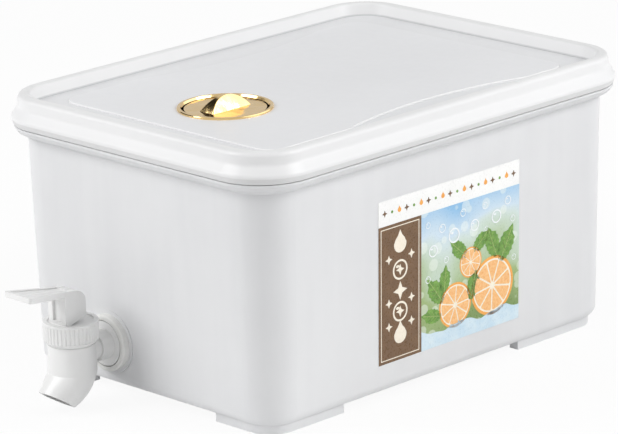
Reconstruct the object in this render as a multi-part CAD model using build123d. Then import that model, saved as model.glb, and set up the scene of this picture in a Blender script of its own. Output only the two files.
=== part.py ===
from build123d import *
import math
import os

# Flat fridge jug with a push-fit lid, a gold turn cap in the lid and a lever tap low on the front wall.
# Millimetres. Z is up and the feet stand on zero. X runs across the jug and the tap points along -Y.
# Names that end in _Z are heights above the feet, and every other height is measured from one of them.
# The shapes are built about the middle of the tub, and the last step
# moves them so that the origin is under the middle of the box that holds the whole jug.

# Tub: outline at the rim line, walls that lean outwards, a moulded floor and four corner feet
BODY_LENGTH = 270.0
BODY_WIDTH = 193.3
CORNER_RADIUS = 22.6
TUB_TOP_Z = 149.0
WALL_LEAN_DEG = 1.5
WALL = 1.8
FLOOR = 2.2
FOOT_HEIGHT = 4.5
FOOT_INSET = 4.0
FOOT_WIDTH = 6.0
FOOT_EMBED = 1.0
FRONT_FOOT_RUN = 53.0
BACK_FOOT_RUN = 67.0
FOOT_SIDE_RUN = 41.0
BOTTOM_EDGE_RADIUS = 6.0

# Tub rim: a flange that flares out under the lid, and a thin upstand that the lid's seal sits on
UPSTAND_HEIGHT = 11.8
UPSTAND_INNER_OUT = 0.5
UPSTAND_WALL = 1.8
FLANGE_THICKNESS = 1.2
FLANGE_OUT = 7.0
FLARE_MID_DROP = 3.6
FLARE_MID_OUT = 5.2
FLARE_DROP = 6.7
LEDGE_DROP = 3.2
RIM_LINE_RISE = 3.6

# Lid: hollow rim with an outer skirt, a sunk floor and a raised panel
LID_WALL = 1.8
SEAL_HEIGHT = 3.1
SKIRT_GAP = 0.3
SKIRT_FOOT_OUT = 7.1
SKIRT_BULGE_RISE = 4.1
SKIRT_BULGE_OUT = 8.65
SKIRT_WAIST_RISE = 9.5
SKIRT_WAIST_OUT = 4.8
LID_TOP_OUT = 4.3
LID_TOP_IN = 1.6
LID_FOOT_IN = 3.9
LID_FLOOR_SINK = 7.0
LID_FLOOR_LAP = 2.0
SKIRT_FOOT_RADIUS = 0.6
SKIRT_BULGE_RADIUS = 2.6
SKIRT_WAIST_RADIUS = 4.0
LID_OUTER_RADIUS = 3.0
LID_INNER_RADIUS = 2.0
LID_FOOT_RADIUS = 0.8
PANEL_STEP = 1.0
PANEL_HALF_WIDTH = 80.0
PANEL_HALF_LENGTH = 113.0
PANEL_CORNER = 11.0
PANEL_WAIST_DEPTH = 10.5
PANEL_WAIST_HALF_RUN = 70.0
PANEL_WAIST_Y = 12.0
PANEL_EDGE_RADIUS = 0.5
SEAL_SIDE_GAP = 0.1

# Label on the right-hand wall: a thin printed film
LABEL_FRONT_Y = -52.5
LABEL_BACK_Y = 55.8
LABEL_LOW_Z = 20.5
LABEL_HIGH_Z = 110.0
LABEL_FILM = 0.2

# Turn cap: a gold cover with an arched grip, clipped on a white plug with two locking lugs
CAP_Y = -67.9
CAP_RADIUS = 25.7
CAP_RIM_RISE = 1.1
CAP_RIM_WIDTH = 1.9
CAP_RIM_BEVEL = 0.35
CAP_DISH_DEPTH = 1.2
CAP_DISH_SLOPE = 0.8
CAP_FLOOR = 1.2
GRIP_LENGTH = 27.6
GRIP_RISE = 7.5
GRIP_BASE_WIDTH = 10.6
GRIP_TOP_WIDTH = 2.0
GRIP_EDGE_RADIUS = 0.7
NECK_BORE_RADIUS = 22.0
NECK_WALL = 3.8
NECK_DEPTH = 6.7
PLUG_CLEARANCE = 0.6
PLUG_WALL = 2.0
PLUG_TOP = 1.4
LUG_REACH = 2.2
LUG_HEIGHT = 2.3
LUG_GAP = 0.3
LUG_ANGLE = 30.0
LUG_SLOT_SPARE = 6.0
O_RING_RADIUS = 0.72
O_RING_FIT = 0.08
O_RING_DROP = 3.1
O_RING_GROOVE_HALF = 1.0

# Tap: mounting through the front wall
TAP_X = -26.5
TAP_Z = 28.8
TAP_HOLE_RADIUS = 8.3
TAP_PAD_RADIUS = 17.5
TAP_PAD_PROUD = 0.25
SHANK_THREAD_RADIUS = 8.0
SHANK_RADIUS = 8.2
SHANK_NECK_GAP = 0.2
SHANK_NECK_CLEAR = 0.4
SHANK_BORE_RADIUS = 5.0
SHANK_FIT = 0.1
SHANK_TAIL = 3.0
SHOULDER_RADIUS = 12.2
SHOULDER_THICKNESS = 2.0
OUTER_WASHER_RADIUS = 15.4
OUTER_WASHER_THICKNESS = 4.0
OUTER_WASHER_DISH = 2.2
OUTER_WASHER_LIP = 2.6
OUTER_WASHER_BEVEL = 0.8
INNER_WASHER_RADIUS = 14.0
INNER_WASHER_THICKNESS = 2.0
NUT_FLANGE_RADIUS = 14.5
NUT_FLANGE_THICKNESS = 1.5
NUT_ACROSS_CORNERS = 27.5
NUT_HEIGHT = 6.5

# Tap: barrel, spout and valve seat. Reach is measured from the front wall's seat for the tap
BARREL_REACH = 26.6
BARREL_LOW_RADIUS = 13.2
BARREL_HIGH_RADIUS = 12.6
BARREL_NECK_RADIUS = 12.2
BARREL_FOOT_DROP = 8.8
BARREL_SHOULDER_RISE = 6.3
BARREL_NECK_HEIGHT = 9.5
CHAMBER_RADIUS = 9.8
SEAT_THICKNESS = 2.2
SEAT_HOLE_RADIUS = 5.0
SPOUT_WALL = 2.0
SPOUT_REACH = 11.8
SPOUT_MID_REACH = 4.4
SPOUT_MID_DROP = 7.4
SPOUT_MID_RADIUS = 12.5
SPOUT_MID_TILT_DEG = 19.0
OUTLET_DROP = 13.6
OUTLET_RADIUS = 10.3
OUTLET_TILT_DEG = 34.0

# Tap: ribbed bonnet that screws over the barrel, its gasket and the seal round the stem
BONNET_RADIUS = 14.85
BONNET_ROOF = 1.5
BONNET_FOOT_GAP = 0.8
BONNET_CHAMFER = 1.9
BONNET_FIT = 0.25
BONNET_RECESS_RADIUS = 12.3
BONNET_RECESS_DEPTH = 0.8
BONNET_EDGE_RADIUS = 0.5
RIB_COUNT = 42
RIB_GROOVE_DEPTH = 0.55
RIB_GROOVE_HALF_WIDTH = 0.65
RIB_MARGIN = 1.3
GASKET_THICKNESS = 1.0
SLEEVE_RADIUS = 5.0
SLEEVE_LENGTH = 8.0
STEM_FIT = 0.06
STEM_SEAL_RADIUS = 4.2
STEM_SEAL_HEIGHT = 2.0
STEM_SEAL_FIT = 0.05

# Tap: stem, plug and spring that the lever lifts
STEM_RADIUS = 2.5
STEM_TIP_DEPTH = 3.2
PLUG_DISC_RADIUS = 7.6
PLUG_DISC_HEIGHT = 3.0
PLUG_HUB_RADIUS = 4.4
PLUG_HUB_HEIGHT = 6.5
PLUG_HOLE_FIT = 0.02
PLUG_NOSE_RADIUS = 4.4
PLUG_NOSE_TIP_RADIUS = 2.6
PLUG_NOSE_DEPTH = 2.2
SPRING_RADIUS = 6.5
SPRING_WIRE_RADIUS = 0.3
SPRING_TURNS = 7
SPRING_END_GAP = 0.1

# Tap: paddle lever on a cross pin through the stem
PIN_RISE = 7.0
PIN_RADIUS = 1.2
PIN_HALF_LENGTH = 5.4
PIN_END_GAP = 0.1
PIN_LEVER_FIT = 0.02
PIN_STEM_FIT = 0.06
HUB_HALF_WIDTH = 6.75
HUB_FRONT = 9.0
HUB_BACK = 5.4
HEEL_FLAT = 2.6
HEEL_SLANT_RISE = 3.3
HUB_BACK_RADIUS = 7.0
PADDLE_REACH = 35.7
PADDLE_TIP_HALF_WIDTH = 10.5
PADDLE_ROOT_RISE = 10.8
PADDLE_TIP_RISE = 5.0
PADDLE_THICKNESS = 3.1
PADDLE_CORNER_RADIUS = 1.6
PADDLE_BORDER = 2.2
PADDLE_SINK = 0.6
POCKET_FRONT = 5.9
POCKET_BACK = 3.5
POCKET_HALF_WIDTH = 2.9
POCKET_RISE = 3.6
FACE_GROOVE_HALF_WIDTH = 3.4
FACE_GROOVE_DEPTH = 1.4
FACE_GROOVE_LOW = 2.0
FACE_GROOVE_HIGH = 13.6

# One overrun for every cut
OVER = 2.0

# Worked out from the sizes above
LEAN = math.tan(math.radians(WALL_LEAN_DEG))
FLANGE_TOP_Z = TUB_TOP_Z - UPSTAND_HEIGHT
FLANGE_EDGE_Z = FLANGE_TOP_Z - FLANGE_THICKNESS
FLARE_MID_Z = FLANGE_TOP_Z - FLARE_MID_DROP
FLARE_START_Z = FLANGE_TOP_Z - FLARE_DROP
LEDGE_START_Z = FLANGE_TOP_Z - LEDGE_DROP
RIM_LINE_Z = FLANGE_TOP_Z + RIM_LINE_RISE
SEAL_TOP_Z = TUB_TOP_Z + SEAL_HEIGHT
LID_TOP_Z = SEAL_TOP_Z + LID_WALL
LID_FLOOR_Z = LID_TOP_Z - LID_FLOOR_SINK
LID_FLOOR_UNDER_Z = LID_FLOOR_Z - LID_WALL
SKIRT_FOOT_Z = FLANGE_TOP_Z + SKIRT_GAP
SKIRT_BULGE_Z = SKIRT_FOOT_Z + SKIRT_BULGE_RISE
SKIRT_WAIST_Z = SKIRT_FOOT_Z + SKIRT_WAIST_RISE
PANEL_TOP_Z = LID_FLOOR_Z + PANEL_STEP
CAP_TOP_Z = PANEL_TOP_Z + CAP_RIM_RISE
DISH_Z = CAP_TOP_Z - CAP_DISH_DEPTH
COVER_UNDER_Z = DISH_Z - CAP_FLOOR
NECK_BOTTOM_Z = PANEL_TOP_Z - NECK_DEPTH
PLUG_RADIUS = NECK_BORE_RADIUS - PLUG_CLEARANCE
LUG_TOP_Z = NECK_BOTTOM_Z - LUG_GAP
LUG_BOTTOM_Z = LUG_TOP_Z - LUG_HEIGHT
BARREL_LOW_Z = TAP_Z - BARREL_FOOT_DROP
BARREL_SHOULDER_Z = TAP_Z + BARREL_SHOULDER_RISE
BARREL_TOP_Z = BARREL_SHOULDER_Z + BARREL_NECK_HEIGHT
SEAT_Z = BARREL_LOW_Z + SEAT_THICKNESS
SPOUT_MID_Z = BARREL_LOW_Z - SPOUT_MID_DROP
OUTLET_Z = BARREL_LOW_Z - OUTLET_DROP
BONNET_UNDER_Z = BARREL_TOP_Z + GASKET_THICKNESS
BONNET_FLOOR_Z = BONNET_UNDER_Z + BONNET_ROOF
BONNET_TOP_Z = BONNET_FLOOR_Z + BONNET_RECESS_DEPTH
BONNET_BOTTOM_Z = BARREL_SHOULDER_Z + BONNET_FOOT_GAP
SLEEVE_BOTTOM_Z = BONNET_UNDER_Z - SLEEVE_LENGTH
SHANK_NECK_RADIUS = BONNET_BOTTOM_Z - TAP_Z - SHANK_NECK_GAP
PIN_Z = BONNET_FLOOR_Z + PIN_RISE
PADDLE_ROOT_TOP_Z = PIN_Z + PADDLE_ROOT_RISE
PADDLE_TIP_TOP_Z = PADDLE_ROOT_TOP_Z + PADDLE_TIP_RISE


def wall_out(z):
    """How far the leaning outer wall stands outside the rim outline at height z (negative below it)."""
    return -LEAN * (RIM_LINE_Z - z)


def outline(out, z):
    """The rim outline at height z, grown outwards by out."""
    shape = RectangleRounded(BODY_WIDTH + 2 * out, BODY_LENGTH + 2 * out, CORNER_RADIUS + out)
    return Pos(0, 0, z) * shape


def prism(out, low_z, high_z):
    """The rim outline, grown by out, from low_z to high_z."""
    return extrude(outline(out, low_z), high_z - low_z)


def wall_front(z):
    """Y of the front wall's outer face at height z."""
    return -(BODY_LENGTH / 2 + wall_out(z))


def tube(outer, inner, low_z, high_z, x=0, y=0):
    """An upright ring, or a disc where inner is zero."""
    height = high_z - low_z
    ring = Pos(x, y, low_z) * extrude(Circle(outer), height)
    if inner:
        ring -= Pos(x, y, low_z - OVER) * extrude(Circle(inner), height + 2 * OVER)
    return ring


def lying_tube(outer, inner, back_y, front_y):
    """A ring about the tap's level axis, from back_y out to front_y."""
    plane = Plane(origin=(TAP_X, back_y, TAP_Z), x_dir=(1, 0, 0), z_dir=(0, -1, 0))
    ring = plane * extrude(Circle(outer), back_y - front_y)
    if inner:
        cutter = plane.offset(-OVER)
        ring -= cutter * extrude(Circle(inner), back_y - front_y + 2 * OVER)
    return ring


# Where the tap sits on the wall: two flat pads, upright although the wall leans
PAD_FRONT_Y = wall_front(TAP_Z + TAP_PAD_RADIUS) - TAP_PAD_PROUD
PAD_BACK_Y = wall_front(TAP_Z - TAP_PAD_RADIUS) + WALL + TAP_PAD_PROUD
WASHER_FRONT_Y = PAD_FRONT_Y - OUTER_WASHER_THICKNESS
SHOULDER_BACK_Y = WASHER_FRONT_Y + OUTER_WASHER_DISH
SHOULDER_FRONT_Y = SHOULDER_BACK_Y - SHOULDER_THICKNESS
INNER_WASHER_BACK_Y = PAD_BACK_Y + INNER_WASHER_THICKNESS
NUT_BACK_Y = INNER_WASHER_BACK_Y + NUT_HEIGHT
SHANK_END_Y = NUT_BACK_Y + SHANK_TAIL
BARREL_Y = PAD_FRONT_Y - BARREL_REACH


def tub():
    """Leaning shell with a flared rim, an upstand for the seal, the tap's hole and the feet."""
    floor_z = FOOT_HEIGHT
    shell = loft([outline(wall_out(floor_z), floor_z), outline(wall_out(FLANGE_TOP_Z), FLANGE_TOP_Z)])
    shell = fillet(shell.edges().group_by(Axis.Z)[0], BOTTOM_EDGE_RADIUS)
    flare = loft([outline(wall_out(FLARE_START_Z), FLARE_START_Z),
                  outline(FLARE_MID_OUT, FLARE_MID_Z),
                  outline(FLANGE_OUT, FLANGE_EDGE_Z)], ruled=True)
    shell += flare
    shell += prism(FLANGE_OUT, FLANGE_EDGE_Z, FLANGE_TOP_Z)
    shell += prism(UPSTAND_INNER_OUT + UPSTAND_WALL, FLANGE_TOP_Z, TUB_TOP_Z)
    shell += tap_pad()
    inside_z = floor_z + FLOOR
    hollow = loft([outline(wall_out(inside_z) - WALL, inside_z),
                   outline(wall_out(LEDGE_START_Z) - WALL, LEDGE_START_Z)])
    hollow = fillet(hollow.edges().group_by(Axis.Z)[0], BOTTOM_EDGE_RADIUS - WALL)
    hollow += loft([outline(wall_out(LEDGE_START_Z) - WALL, LEDGE_START_Z),
                    outline(UPSTAND_INNER_OUT, FLANGE_TOP_Z)])
    hollow += prism(UPSTAND_INNER_OUT, FLANGE_TOP_Z, TUB_TOP_Z + OVER)
    hollow -= tap_pad()
    shell -= hollow
    shell -= lying_tube(TAP_HOLE_RADIUS, 0, PAD_BACK_Y + OVER, PAD_FRONT_Y - OVER)
    shell += tub_feet()
    return shell


def tap_pad():
    """Flat round pad that gives the tap's washers an upright seat on both faces of the wall."""
    return lying_tube(TAP_PAD_RADIUS, 0, PAD_BACK_Y, PAD_FRONT_Y)


def tub_feet():
    """Four moulded feet that follow the corners of the floor."""
    out = wall_out(FOOT_HEIGHT) - FOOT_INSET
    ring = prism(out, 0, FOOT_HEIGHT + FOOT_EMBED) - prism(out - FOOT_WIDTH, -OVER, FOOT_HEIGHT + OVER)
    half_width = BODY_WIDTH / 2 + out
    half_length = BODY_LENGTH / 2 + out
    side_start = half_width - FOOT_SIDE_RUN
    front_start = -half_length + FRONT_FOOT_RUN
    back_start = half_length - BACK_FOOT_RUN
    feet = []
    for low_x, high_x in ((-half_width, -side_start), (side_start, half_width)):
        for low_y, high_y in ((-half_length, front_start), (back_start, half_length)):
            keep = Pos((low_x + high_x) / 2, (low_y + high_y) / 2, FOOT_HEIGHT / 2)
            keep *= Box(high_x - low_x, high_y - low_y, FOOT_HEIGHT * 2 + OVER)
            feet.append(ring & keep)
    return feet[0] + feet[1] + feet[2] + feet[3]


def lid_rim():
    """The hollow rim, as its section swept once round the rim outline."""
    section_points = (
        (SKIRT_FOOT_OUT - LID_WALL, SKIRT_FOOT_Z),
        (SKIRT_FOOT_OUT, SKIRT_FOOT_Z),
        (SKIRT_BULGE_OUT, SKIRT_BULGE_Z),
        (SKIRT_WAIST_OUT, SKIRT_WAIST_Z),
        (LID_TOP_OUT, LID_TOP_Z),
        (-LID_TOP_IN, LID_TOP_Z),
        (-LID_FOOT_IN, LID_FLOOR_Z),
        (-LID_FOOT_IN - LID_FLOOR_LAP, LID_FLOOR_Z),
        (-LID_FOOT_IN - LID_FLOOR_LAP, LID_FLOOR_UNDER_Z),
        (-LID_FOOT_IN + LID_WALL, LID_FLOOR_UNDER_Z),
        (-LID_TOP_IN + LID_WALL, SEAL_TOP_Z),
        (LID_TOP_OUT - LID_WALL, SEAL_TOP_Z),
        (SKIRT_WAIST_OUT - LID_WALL, SKIRT_WAIST_Z),
        (SKIRT_BULGE_OUT - LID_WALL, SKIRT_BULGE_Z),
    )
    radii = {1: SKIRT_FOOT_RADIUS, 2: SKIRT_BULGE_RADIUS, 3: SKIRT_WAIST_RADIUS,
             4: LID_OUTER_RADIUS, 5: LID_INNER_RADIUS, 6: LID_FOOT_RADIUS}
    path = outline(0, 0).face().outer_wire()
    along = path % 0
    section_plane = Plane(origin=path @ 0, x_dir=along.cross(Vector(0, 0, 1)), z_dir=along)
    rise = 1 if section_plane.y_dir.Z > 0 else -1
    section = make_face(Polyline(*[(out, rise * z) for out, z in section_points], close=True))
    for index, radius in radii.items():
        out, z = section_points[index]
        near = section.vertices().sort_by_distance((out, rise * z, 0))[0]
        section = fillet(near, radius)
    return sweep(section_plane * section, path=path)


def panel_face(inset):
    """Outline of the raised panel: rounded corners and a shallow waist on each long side."""
    half_width = PANEL_HALF_WIDTH - inset
    half_length = PANEL_HALF_LENGTH - inset
    waist_x = half_width - PANEL_WAIST_DEPTH
    face = RectangleRounded(2 * half_width, 2 * half_length, PANEL_CORNER - inset)
    run = PANEL_WAIST_HALF_RUN
    depth = half_width - waist_x
    arc_radius = (run * run + depth * depth) / (2 * depth)
    for side in (-1, 1):
        face -= Pos(side * (waist_x + arc_radius), PANEL_WAIST_Y) * Circle(arc_radius)
    return face


def lid():
    """Rim, sunk floor, raised panel, and the neck for the turn cap with slots for its lugs."""
    body = lid_rim()
    body += prism(-LID_FOOT_IN - LID_FLOOR_LAP / 2, LID_FLOOR_UNDER_Z, LID_FLOOR_Z)
    panel = Pos(0, 0, LID_FLOOR_Z - LID_WALL / 2) * extrude(panel_face(0), LID_WALL / 2 + PANEL_STEP)
    panel = fillet(panel.edges().group_by(Axis.Z)[-1], PANEL_EDGE_RADIUS)
    body += panel
    under_z = LID_FLOOR_UNDER_Z - OVER
    body -= Pos(0, 0, under_z) * extrude(panel_face(LID_WALL), OVER + PANEL_STEP)
    neck_radius = NECK_BORE_RADIUS + NECK_WALL
    body += tube(neck_radius, 0, NECK_BOTTOM_Z, PANEL_TOP_Z, 0, CAP_Y)
    body -= tube(NECK_BORE_RADIUS, 0, NECK_BOTTOM_Z - OVER, PANEL_TOP_Z + OVER, 0, CAP_Y)
    body -= lug_sectors(LUG_SLOT_SPARE, LUG_GAP, 90, NECK_BOTTOM_Z - OVER, PANEL_TOP_Z + OVER)
    return body


def lug_sectors(spare_deg, spare_radius, turn_deg, low_z, high_z):
    """Two opposite ring sectors about the cap's axis, the first centred turn_deg from +X."""
    outer = PLUG_RADIUS + LUG_REACH + spare_radius
    ring = tube(outer, PLUG_RADIUS - PLUG_WALL / 2, low_z, high_z)
    half = math.radians((LUG_ANGLE + spare_deg) / 2)
    far = 2 * outer
    spread = far * math.tan(half)
    wedge = make_face(Polyline((0, 0), (far, -spread), (far, spread), close=True))
    wedge += make_face(Polyline((0, 0), (-far, -spread), (-far, spread), close=True))
    wedge = Pos(0, 0, low_z - OVER) * extrude(wedge, high_z - low_z + 2 * OVER)
    return Pos(0, CAP_Y, 0) * Rot(0, 0, turn_deg) * (ring & wedge)


def lid_seal():
    """Soft ring in the hollow rim, resting on the tub's upstand."""
    outer = LID_TOP_OUT - LID_WALL - SEAL_SIDE_GAP
    inner = LID_WALL - LID_TOP_IN + SEAL_SIDE_GAP
    return prism(outer, TUB_TOP_Z, SEAL_TOP_Z) - prism(inner, TUB_TOP_Z - OVER, SEAL_TOP_Z + OVER)


def side_label():
    """Printed film laid on the leaning right-hand wall."""
    mid_y = (LABEL_FRONT_Y + LABEL_BACK_Y) / 2
    mid_z = (LABEL_LOW_Z + LABEL_HIGH_Z) / 2
    wall_x = BODY_WIDTH / 2 + wall_out(mid_z)
    lean = math.radians(WALL_LEAN_DEG)
    plane = Plane(origin=(wall_x, mid_y, mid_z), x_dir=(0, 1, 0),
                  z_dir=(math.cos(lean), 0, -math.sin(lean)))
    film = Rectangle(LABEL_BACK_Y - LABEL_FRONT_Y, (LABEL_HIGH_Z - LABEL_LOW_Z) / math.cos(lean))
    return plane * extrude(film, LABEL_FILM)


def cap_cover():
    """Dished gold cover with a raised edge and an arched grip across it."""
    dish_radius = CAP_RADIUS - CAP_RIM_WIDTH
    points = (
        (0, COVER_UNDER_Z),
        (PLUG_RADIUS, COVER_UNDER_Z),
        (PLUG_RADIUS, PANEL_TOP_Z),
        (CAP_RADIUS, PANEL_TOP_Z),
        (CAP_RADIUS, CAP_TOP_Z - CAP_RIM_BEVEL),
        (CAP_RADIUS - CAP_RIM_BEVEL, CAP_TOP_Z),
        (dish_radius, CAP_TOP_Z),
        (dish_radius - CAP_DISH_SLOPE, DISH_Z),
        (0, DISH_Z),
    )
    section = make_face(Polyline(*[(x, 0, z) for x, z in points], close=True))
    cover = revolve(section, Axis.Z)
    half = GRIP_LENGTH / 2
    embed = CAP_FLOOR / 2
    arch_radius = (half * half + GRIP_RISE * GRIP_RISE) / (2 * GRIP_RISE)
    arch = Plane.YZ * (Pos(0, DISH_Z + GRIP_RISE - arch_radius) * Circle(arch_radius))
    arch = extrude(arch, GRIP_BASE_WIDTH, both=True)
    top_z = DISH_Z + GRIP_RISE
    flare = (GRIP_BASE_WIDTH - GRIP_TOP_WIDTH) / 2 * embed / GRIP_RISE
    foot = GRIP_BASE_WIDTH / 2 + flare
    head = GRIP_TOP_WIDTH / 2
    wedge = make_face(Polyline((-foot, 0, DISH_Z - embed), (foot, 0, DISH_Z - embed),
                               (head, 0, top_z), (-head, 0, top_z), close=True))
    grip = arch & extrude(wedge, GRIP_LENGTH, both=True)
    edges = grip.edges().filter_by(GeomType.LINE, reverse=True)
    grip = fillet(edges, GRIP_EDGE_RADIUS)
    return Pos(0, CAP_Y, 0) * (cover + grip)


def cap_plug():
    """Cup under the cover: it carries the o-ring and the two lugs that lock under the neck."""
    plug = tube(PLUG_RADIUS, PLUG_RADIUS - PLUG_WALL, LUG_BOTTOM_Z, COVER_UNDER_Z, 0, CAP_Y)
    plug += tube(PLUG_RADIUS, 0, COVER_UNDER_Z - PLUG_TOP, COVER_UNDER_Z, 0, CAP_Y)
    ring_z = COVER_UNDER_Z - O_RING_DROP
    groove_radius = NECK_BORE_RADIUS - 2 * O_RING_FIT - 2 * O_RING_RADIUS
    plug -= tube(PLUG_RADIUS + OVER, groove_radius, ring_z - O_RING_GROOVE_HALF,
                 ring_z + O_RING_GROOVE_HALF, 0, CAP_Y)
    return plug + lug_sectors(0, 0, 0, LUG_BOTTOM_Z, LUG_TOP_Z)


def cap_o_ring():
    ring_radius = NECK_BORE_RADIUS - O_RING_FIT - O_RING_RADIUS
    return Pos(0, CAP_Y, COVER_UNDER_Z - O_RING_DROP) * Torus(ring_radius, O_RING_RADIUS)


def spout_section(radius, reach, z, tilt_deg):
    """A round section of the spout, reach in front of the barrel's axis, tipped outwards."""
    plane = Plane(origin=(TAP_X, BARREL_Y - reach, z), x_dir=(1, 0, 0),
                  z_dir=(0, math.sin(math.radians(tilt_deg)), math.cos(math.radians(tilt_deg))))
    return plane * Circle(radius)


def spout(wall_in):
    """The spout's outside, or its bore when wall_in is the wall to leave."""
    return loft([spout_section(BARREL_LOW_RADIUS - wall_in, 0, BARREL_LOW_Z, 0),
                 spout_section(SPOUT_MID_RADIUS - wall_in, SPOUT_MID_REACH, SPOUT_MID_Z, SPOUT_MID_TILT_DEG),
                 spout_section(OUTLET_RADIUS - wall_in, SPOUT_REACH, OUTLET_Z, OUTLET_TILT_DEG)])


def tap_body():
    """Level shank, upright barrel with the valve seat in it, and a spout that leans forward."""
    axis = Pos(TAP_X, BARREL_Y, 0)
    barrel = axis * (Pos(0, 0, BARREL_LOW_Z) * loft([
        Circle(BARREL_LOW_RADIUS),
        Pos(0, 0, BARREL_SHOULDER_Z - BARREL_LOW_Z) * Circle(BARREL_HIGH_RADIUS)]))
    body = barrel + tube(BARREL_NECK_RADIUS, 0, BARREL_SHOULDER_Z, BARREL_TOP_Z, TAP_X, BARREL_Y)
    body += spout(0)
    body += lying_tube(SHANK_NECK_RADIUS, 0, SHOULDER_BACK_Y, BARREL_Y)
    body += lying_tube(SHANK_RADIUS, 0, SHOULDER_BACK_Y, BARREL_Y + BONNET_RADIUS + SHANK_NECK_CLEAR)
    body += lying_tube(SHOULDER_RADIUS, 0, SHOULDER_BACK_Y, SHOULDER_FRONT_Y)
    body += lying_tube(SHANK_THREAD_RADIUS, 0, SHANK_END_Y, SHOULDER_BACK_Y)
    body -= tube(CHAMBER_RADIUS, 0, SEAT_Z, BARREL_TOP_Z + OVER, TAP_X, BARREL_Y)
    body -= tube(SEAT_HOLE_RADIUS, 0, BARREL_LOW_Z - OVER, SEAT_Z + OVER, TAP_X, BARREL_Y)
    body -= lying_tube(SHANK_BORE_RADIUS, 0, SHANK_END_Y + OVER, BARREL_Y)
    return body - spout(SPOUT_WALL) - outlet_trim()


def outlet_trim():
    """Opens the outlet cleanly just past its plane."""
    tilt = math.radians(OUTLET_TILT_DEG)
    plane = Plane(origin=(TAP_X, BARREL_Y - SPOUT_REACH, OUTLET_Z), x_dir=(1, 0, 0),
                  z_dir=(0, math.sin(tilt), math.cos(tilt)))
    return plane.offset(-OVER) * extrude(Circle(OUTLET_RADIUS - SPOUT_WALL), OVER)


def outer_washer():
    """Thick dished washer between the tap's shoulder and the outside of the wall."""
    ring = lying_tube(OUTER_WASHER_RADIUS, SHANK_THREAD_RADIUS + SHANK_FIT, PAD_FRONT_Y, WASHER_FRONT_Y)
    ring = chamfer(ring.edges().group_by(Axis.Y)[0].sort_by(Edge.length)[-1], OUTER_WASHER_BEVEL)
    dish_radius = OUTER_WASHER_RADIUS - OUTER_WASHER_LIP
    return ring - lying_tube(dish_radius, 0, SHOULDER_BACK_Y, WASHER_FRONT_Y - OVER)


def inner_washer():
    return lying_tube(INNER_WASHER_RADIUS, SHANK_THREAD_RADIUS + SHANK_FIT, INNER_WASHER_BACK_Y, PAD_BACK_Y)


def lock_nut():
    """Flanged hexagon nut that pulls the tap up from inside the tub."""
    front_y = INNER_WASHER_BACK_Y
    plane = Plane(origin=(TAP_X, NUT_BACK_Y, TAP_Z), x_dir=(1, 0, 0), z_dir=(0, -1, 0))
    nut = plane * extrude(RegularPolygon(NUT_ACROSS_CORNERS / 2, 6), NUT_HEIGHT)
    nut += lying_tube(NUT_FLANGE_RADIUS, 0, front_y + NUT_FLANGE_THICKNESS, front_y)
    return nut - lying_tube(SHANK_THREAD_RADIUS + SHANK_FIT, 0, NUT_BACK_Y + OVER, front_y - OVER)


def tap_bonnet():
    """Ribbed collar over the barrel, with a sunk top and a guide sleeve for the stem."""
    bonnet = tube(BONNET_RADIUS, 0, BONNET_BOTTOM_Z, BONNET_TOP_Z)
    bonnet = chamfer(bonnet.edges().group_by(Axis.Z)[0], BONNET_CHAMFER)
    bonnet = fillet(bonnet.edges().group_by(Axis.Z)[-1], BONNET_EDGE_RADIUS)
    groove = make_face(Polyline((BONNET_RADIUS - RIB_GROOVE_DEPTH, 0),
                                (BONNET_RADIUS + RIB_GROOVE_DEPTH, -2 * RIB_GROOVE_HALF_WIDTH),
                                (BONNET_RADIUS + RIB_GROOVE_DEPTH, 2 * RIB_GROOVE_HALF_WIDTH), close=True))
    groove_low = BONNET_BOTTOM_Z + BONNET_CHAMFER
    groove_high = BONNET_TOP_Z - RIB_MARGIN
    groove = Pos(0, 0, groove_low) * extrude(groove, groove_high - groove_low)
    bonnet -= [Rot(0, 0, 360 / RIB_COUNT * turn) * groove for turn in range(RIB_COUNT)]
    bonnet -= tube(BONNET_RECESS_RADIUS, 0, BONNET_FLOOR_Z, BONNET_TOP_Z + OVER)
    bonnet -= tube(BARREL_NECK_RADIUS + BONNET_FIT, 0, BONNET_BOTTOM_Z - OVER, BONNET_UNDER_Z)
    bonnet += tube(SLEEVE_RADIUS, 0, SLEEVE_BOTTOM_Z, BONNET_UNDER_Z)
    seal_radius = STEM_SEAL_RADIUS + STEM_SEAL_FIT
    bonnet -= tube(seal_radius, 0, SLEEVE_BOTTOM_Z - OVER, SLEEVE_BOTTOM_Z + STEM_SEAL_HEIGHT)
    bonnet -= tube(STEM_RADIUS + STEM_FIT, 0, SLEEVE_BOTTOM_Z, BONNET_TOP_Z + OVER)
    return Pos(TAP_X, BARREL_Y, 0) * bonnet


def bonnet_gasket():
    return tube(BARREL_NECK_RADIUS, CHAMBER_RADIUS, BARREL_TOP_Z, BONNET_UNDER_Z, TAP_X, BARREL_Y)


def stem_seal():
    """Soft ring in the end of the guide sleeve, round the stem."""
    return tube(STEM_SEAL_RADIUS, STEM_RADIUS + STEM_FIT, SLEEVE_BOTTOM_Z,
                SLEEVE_BOTTOM_Z + STEM_SEAL_HEIGHT, TAP_X, BARREL_Y)


def valve_stem():
    """Rod from the plug to the lever, with a round eye for the cross pin."""
    rod = tube(STEM_RADIUS, 0, SEAT_Z + PLUG_DISC_HEIGHT - STEM_TIP_DEPTH / 2, PIN_Z)
    rod += Pos(0, 0, PIN_Z) * Sphere(STEM_RADIUS)
    eye = Plane.YZ.offset(-STEM_RADIUS - OVER) * extrude(Circle(PIN_RADIUS + PIN_STEM_FIT),
                                                        2 * (STEM_RADIUS + OVER))
    return Pos(TAP_X, BARREL_Y, 0) * (rod - Pos(0, 0, PIN_Z) * eye)


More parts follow.
